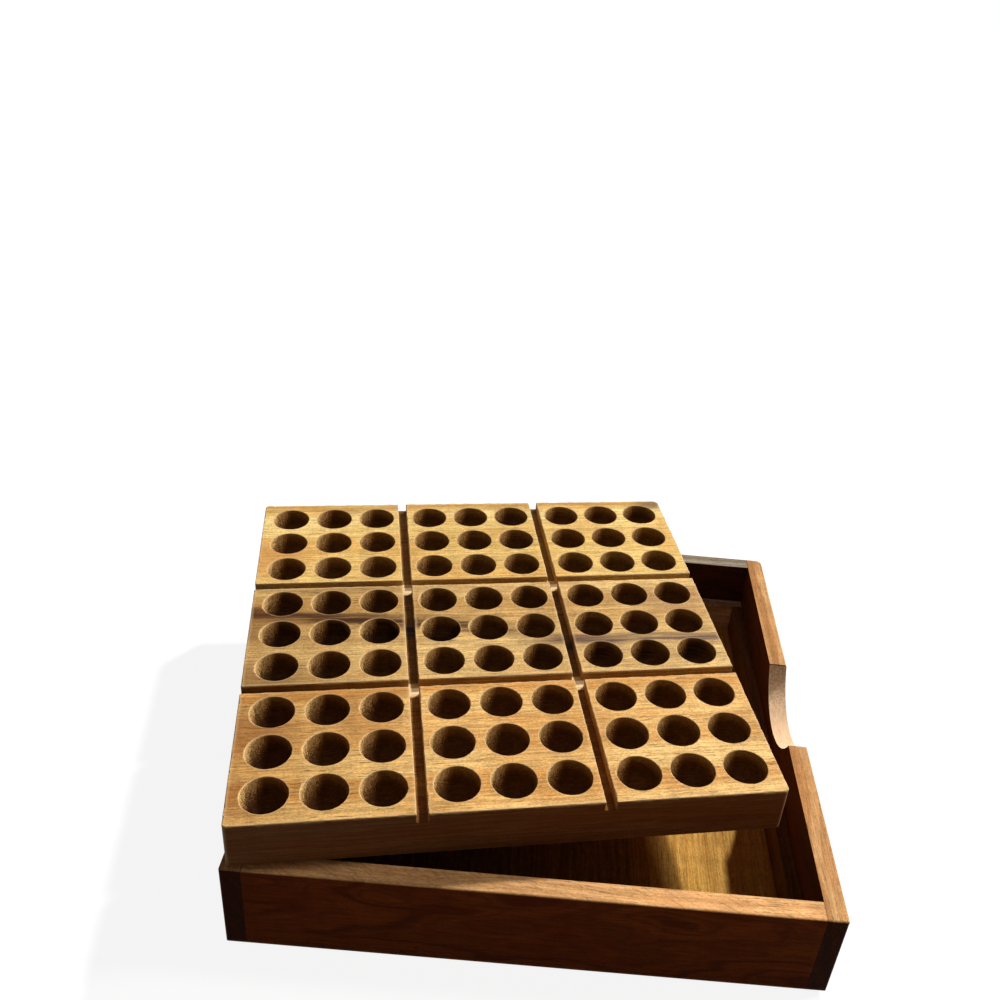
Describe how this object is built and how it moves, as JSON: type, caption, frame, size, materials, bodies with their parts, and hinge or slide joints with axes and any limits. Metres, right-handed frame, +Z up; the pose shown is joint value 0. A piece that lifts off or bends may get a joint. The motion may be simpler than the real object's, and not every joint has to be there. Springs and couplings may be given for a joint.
{
  "type": "sudoku board",
  "caption": "Wooden sudoku board: a thick slab of round cups parted by saw-cut grooves, lying askew on the open tray that stores its pieces, with finger notches and inner ledges.",
  "frame": {"origin": "middle of the tray's flat underside", "axes": "+Z up, +Y to the tray's back, +X to its right as the picture sees it"},
  "size_m": [0.2788, 0.2597, 0.067],
  "materials": {
    "tray_wood": "oiled, reddish brown",
    "floor_wood": "bare, sanded",
    "ledge_wood": "bare, sanded",
    "front_plank_wood": "oiled, orange tan with short dark pores",
    "middle_plank_wood": "oiled, golden brown with dark streaks",
    "back_plank_wood": "oiled, golden yellow"
  },
  "bodies": {
    "tray": {"front_wall": "tray_wood", "back_wall": "tray_wood", "left_wall": "tray_wood", "right_wall": "tray_wood", "floor_panel": "floor_wood", "front_ledge": "ledge_wood", "back_ledge": "ledge_wood", "left_ledge": "ledge_wood", "right_ledge": "ledge_wood"},
    "board": {"front_plank": "front_plank_wood", "middle_plank": "middle_plank_wood", "back_plank": "back_plank_wood"}
  },
  "joints": [
    {"name": "board_lift", "type": "slide", "parent": "tray", "child": "board", "axis": [0, 0, 1], "range_m": [0, 0.08]}
  ]
}
